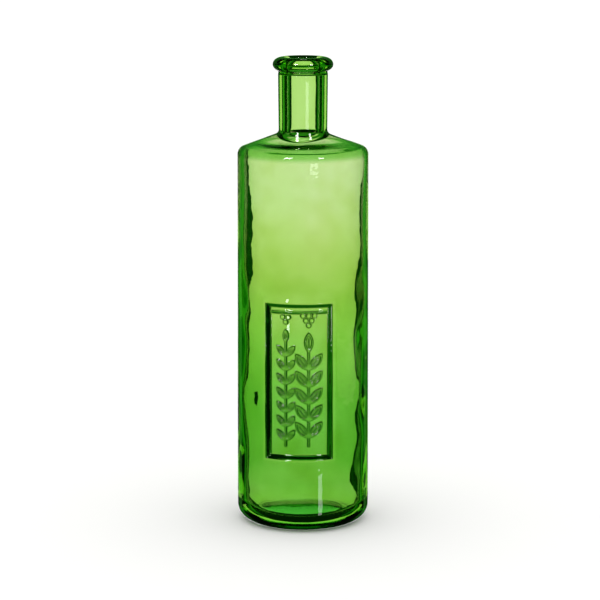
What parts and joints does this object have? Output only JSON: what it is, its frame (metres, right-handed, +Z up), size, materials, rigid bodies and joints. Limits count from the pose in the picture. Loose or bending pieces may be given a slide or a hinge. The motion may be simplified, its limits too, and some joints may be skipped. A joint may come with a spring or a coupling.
{
  "type": "glass bottle",
  "caption": "Tall round green glass bottle with a bead lip, a short straight neck, a sloped shoulder and a sunken front panel with moulded herb sprigs.",
  "frame": {"origin": "on the bottle's axis, at the level of the ring it stands on", "axes": "+Z up along the bottle's axis towards the mouth; -Y is the front, where the centre of the sunken label panel faces; +X is to the right seen from the front"},
  "size_m": [0.0824, 0.0824, 0.29],
  "materials": {
    "green_glass": "transparent yellow-green mass-coloured glass, glossy, slightly wavy inside"
  },
  "bodies": {
    "root": {"lip": "green_glass", "neck": "green_glass", "shoulder": "green_glass", "body_wall": "green_glass", "label_panel": "green_glass", "heel": "green_glass", "punt": "green_glass", "small_sprig": "green_glass", "large_sprig": "green_glass", "berries": "green_glass"}
  },
  "joints": []
}
